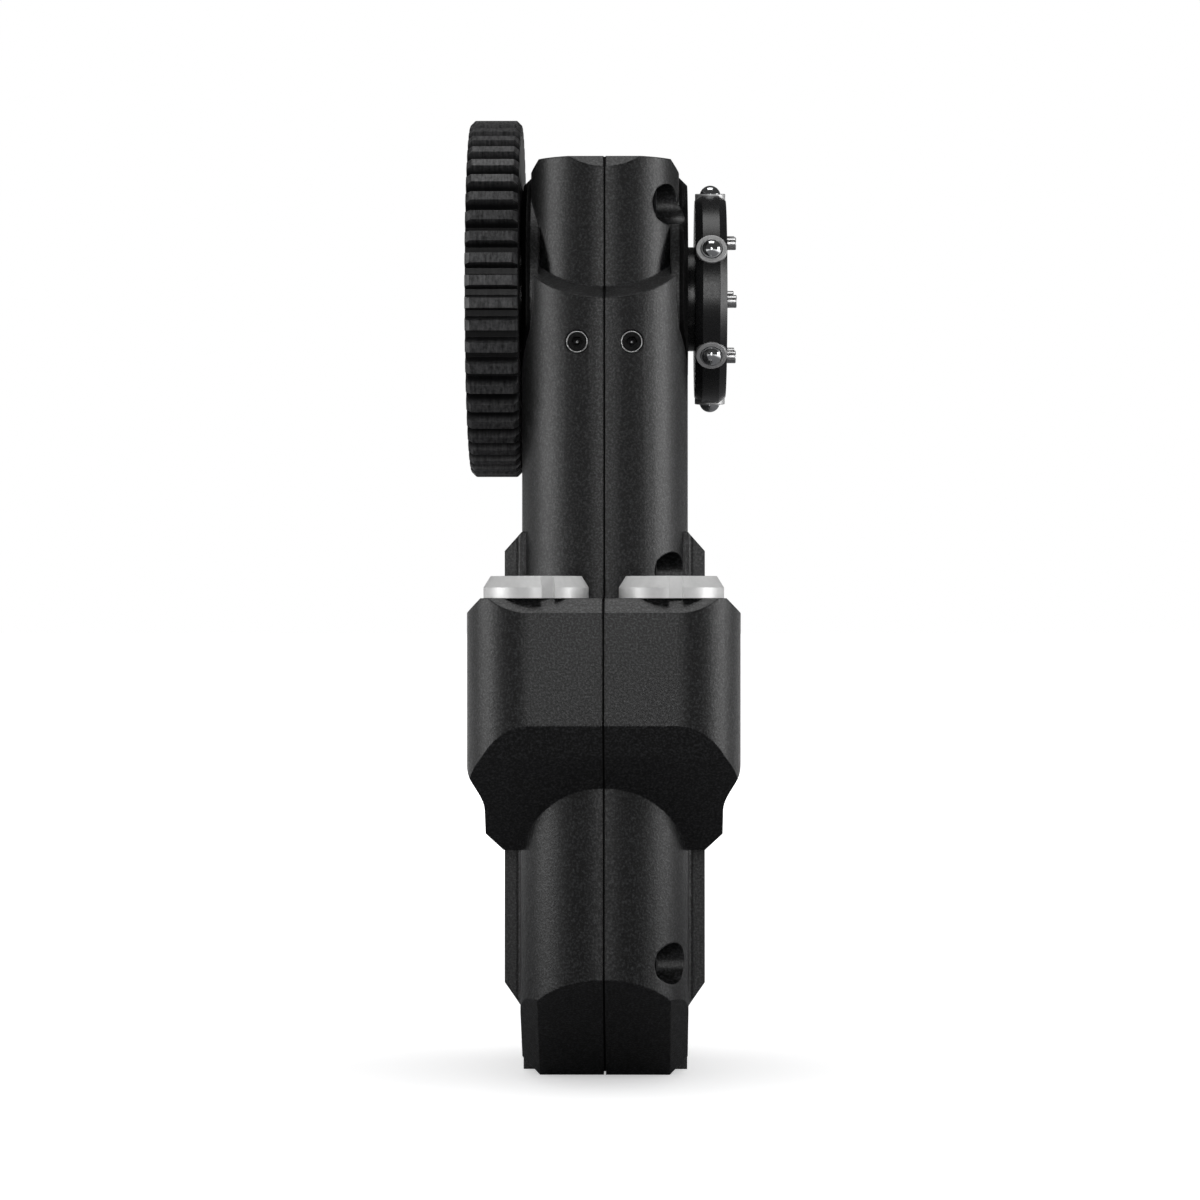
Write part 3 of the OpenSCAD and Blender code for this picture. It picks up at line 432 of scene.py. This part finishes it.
fine_gear = round_edges("drive_gear", 0.28 * MM, 4, along=0.3)
# Sheets of painted shade over both boss rims
painted_boss_shades = [coat_boss(side) for side in sides]
for side in sides:
    round_edges("plunger_sleeves_" + side, 0.08 * MM, finish="collar")
# The set screws take the dark, dull black that is also painted as shade on the boss rims
round_edges("set_screws", 0.05 * MM, finish="boss_black")
# The widths are in mm
for name, width in (
    ("hub_left", 0.12),
    ("hub_right", 0.12),
    ("hub_pins_left", 0.1),
    ("hub_pins_right", 0.1),
    ("socket_nut_left", 0.14),
    ("socket_nut_right", 0.14),
    ("housing_screws", 0.08),
    ("clamp_screw", 0.2),
    ("clamp_washer", 0.1),
):
    round_edges(name, width * MM)

# A bright worn rim on each set screw and a bright dome at its bottom. The profiles are radius and place
# forward, in mm.
set_r = 1.25 * MM
rim_profile = (
    (1.09, 0.0), (1.13, 0.05), (1.19, 0.07), (1.25, 0.05), (1.26, 0.0), (1.22, -0.1), (1.12, -0.1)
)
dome_profile = ((0.0, -0.5), (0.14, -0.53), (0.25, -0.61), (0.32, -0.75), (0.32, -1.18), (0.0, -1.18))
set_low, set_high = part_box("set_screws")
set_level = (set_low[2] + set_high[2]) / 2.0
set_place = (set_high[0] - set_low[0]) / 2.0 - set_r
for side, way in zip(sides, (-1.0, 1.0)):
    centre = (way * set_place, set_low[1], set_level)
    for name, profile in (("set_rim_", rim_profile), ("set_dome_", dome_profile)):
        make_lathe(name + side, profile, centre, "steel", "housing")

# Coil springs behind the balls


def make_spring(ball, side):
    # The lengths are in mm. floor and top are the coil's ends, measured from the shaft's axis.
    floor = 9.25
    top = 11.25
    coil_r = 0.93
    wire_r = 0.12
    turns = 4.0
    steps = 72
    around = 8
    low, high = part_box(ball)
    middle = (Vector(low) + Vector(high)) / 2.0
    hub_middle = Vector((middle.x, shaft_y, shaft_z))
    out = (middle - hub_middle).normalized()
    across = Vector((1.0, 0.0, 0.0))
    third = out.cross(across)
    shape = bmesh.new()
    loops = []
    for step in range(steps + 1):
        share = step / steps
        angle = 2.0 * math.pi * turns * share
        sweep = across * math.cos(angle) + third * math.sin(angle)
        spot = hub_middle + out * (floor + (top - floor) * share) * MM + sweep * coil_r * MM
        loop = []
        for part in range(around):
            turn = 2.0 * math.pi * part / around
            side_step = sweep * math.cos(turn) + out * math.sin(turn)
            loop.append(shape.verts.new(spot + side_step * wire_r * MM))
        loops.append(loop)
    for here, there in zip(loops, loops[1:]):
        for part in range(around):
            ahead = (part + 1) % around
            shape.faces.new((here[part], here[ahead], there[ahead], there[part]))
    shape.faces.new(loops[0])
    shape.faces.new(loops[-1])
    bmesh.ops.recalc_face_normals(shape, faces=shape.faces)
    for face in shape.faces:
        face.smooth = len(face.verts) == 4
    node = "plunger_springs_" + side
    name = "spring_" + ball
    piece = place_piece(name, make_mesh(name, shape), slots[node], "output")
    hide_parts(node)
    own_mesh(piece)


for side in sides:
    for number in range(1, 7):
        make_spring("ball_" + side + "_" + str(number), side)

# The gasket reaches almost to the top of the head
gasket = nodes["housing_gasket"].data.copy()
gasket_top = max(vert.co.z for vert in gasket.vertices)
top_band = 0.6 * MM
head_gap = 0.06 * MM
head_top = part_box("housing_left")[1][2]
for vert in gasket.vertices:
    if vert.co.z > gasket_top - top_band:
        vert.co.z += head_top - gasket_top - head_gap
fine_gasket = place_piece("fine_gasket", gasket, "gasket_rubber", "housing")
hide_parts("housing_gasket")

# Floor, world and lamps


def join_rays(tree, *ends):
    # One for a ray of any of these kinds, nought for the rest
    path = tree.nodes.new("ShaderNodeLightPath")
    kind = path.outputs[ends[0]]
    for end in ends[1:]:
        kind = add_math(tree, "MAXIMUM", kind, path.outputs[end])
    return kind


def make_floor():
    # The floor is bright to the camera away from the object, and to mirror rays behind it and at its sides
    shape = bpy.data.meshes.new("floor")
    half = 6.0
    level = cad_box[0][2]
    shape.from_pydata(
        [(-half, -half, level), (half, -half, level), (half, half, level), (-half, half, level)],
        [],
        [(0, 1, 2, 3)],
    )
    floor = bpy.data.objects.new("floor", shape)
    scene.collection.objects.link(floor)
    material, tree, shader = make_material("floor")
    shader.inputs["Roughness"].default_value = 0.9
    shader.inputs["Specular IOR Level"].default_value = 0.1
    cloud = add_noise(tree, scale=3.0, detail=2.0, rough=0.5)
    pale = add_colour(tree, cloud, (0.84, 0.84, 0.845), (0.86, 0.86, 0.865))
    seen = join_rays(tree, "Is Camera Ray")
    dim = (0.16, 0.16, 0.165, 1.0)
    wire(tree, add_mix(tree, seen, dim, pale, "RGBA"), shader.inputs["Base Color"])
    shader.inputs["Emission Color"].default_value = (1.0, 1.0, 1.0, 1.0)
    # The spans below are in metres from the middle of the floor
    place = add_place(tree)
    reach = tree.nodes.new("ShaderNodeVectorMath")
    reach.operation = "LENGTH"
    wire(tree, place, reach.inputs[0])
    split = add_split(tree, place)
    far = add_range(tree, reach.outputs["Value"], 0.12, 0.5, 0.4, 1.0)
    behind = add_range(tree, split["Y"], 0.3, 0.8, 0.0, 1.0)
    mirrored = join_rays(tree, "Is Glossy Ray", "Is Transmission Ray")
    beside = add_range(tree, add_math(tree, "ABSOLUTE", split["X"]), 0.2, 0.45, 0.0, 1.0)
    glow = add_mix(tree, mirrored, 0.0, add_math(tree, "MAXIMUM", behind, beside))
    wire(tree, add_mix(tree, seen, glow, far), shader.inputs["Emission Strength"])
    shape.materials.append(material)


def make_world():
    # The world is white to the camera and to mirror rays that go straight back, and dim grey to the rest
    world = bpy.data.worlds.new("studio")
    scene.world = world
    world.use_nodes = True
    tree = world.node_tree
    ground = tree.nodes["Background"]
    ground.inputs["Color"].default_value = (1.0, 1.0, 1.0, 1.0)
    split = add_split(tree, tree.nodes.new("ShaderNodeTexCoord").outputs["Generated"])
    behind = add_range(tree, split["Y"], 0.97, 0.995, 0.05, 1.0)
    mirrored = join_rays(tree, "Is Glossy Ray", "Is Transmission Ray")
    rest = add_mix(tree, mirrored, 0.65, behind)
    seen = join_rays(tree, "Is Camera Ray")
    wire(tree, add_mix(tree, seen, rest, 1.0), ground.inputs["Strength"])


def add_lamp(name, turn, rise, reach, width, height, level):
    # turn and rise are angles in degrees, from the line between the object and the camera. reach, width
    # and height are in metres. level is how bright the lamp's face is, where 1 is white.
    middle = Vector((0.0, -10.0 * MM, 40.0 * MM))
    side = math.radians(turn)
    up = math.radians(rise)
    way = Vector((math.sin(side) * math.cos(up), -math.cos(side) * math.cos(up), math.sin(up)))
    lamp_data = bpy.data.lights.new(name, "AREA")
    lamp_data.shape = "RECTANGLE"
    lamp_data.size = width
    lamp_data.size_y = height
    lamp_data.energy = level * math.pi * width * height
    lamp = bpy.data.objects.new(name, lamp_data)
    scene.collection.objects.link(lamp)
    lamp.location = middle + way * reach
    lamp.rotation_euler = (-way).to_track_quat("-Z", "Y").to_euler()
    return lamp


make_floor()
make_world()
left_box = add_lamp("left_box", -82.0, 3.0, 0.7, 0.40, 0.5, 3.0)
right_box = add_lamp("right_box", 84.0, 3.0, 0.7, 0.38, 0.5, 3.75)
add_lamp("front_fill", 0.0, 2.0, 1.1, 0.16, 0.8, 6.1)
add_lamp("top_box", 0.0, 88.0, 0.8, 0.5, 0.4, 2.4)

# Light linking. The left lamp shines past the lens gear onto the head. Neither side lamp lights the boss
# rims, and the right lamp doesn't light the gear, since they are in shade in the photo.


def leave_out(name, pieces):
    # A group for light linking that holds everything but these pieces
    group = bpy.data.collections.new(name)
    for piece in pieces:
        group.objects.link(piece)
    for member in group.collection_objects:
        member.light_linking.link_state = "EXCLUDE"
    return group


left_box.light_linking.blocker_collection = leave_out("spared", [fine_gear])
left_box.light_linking.receiver_collection = leave_out("left_shade", painted_boss_shades)
right_box.light_linking.receiver_collection = leave_out("right_shade", painted_boss_shades + [fine_gear])
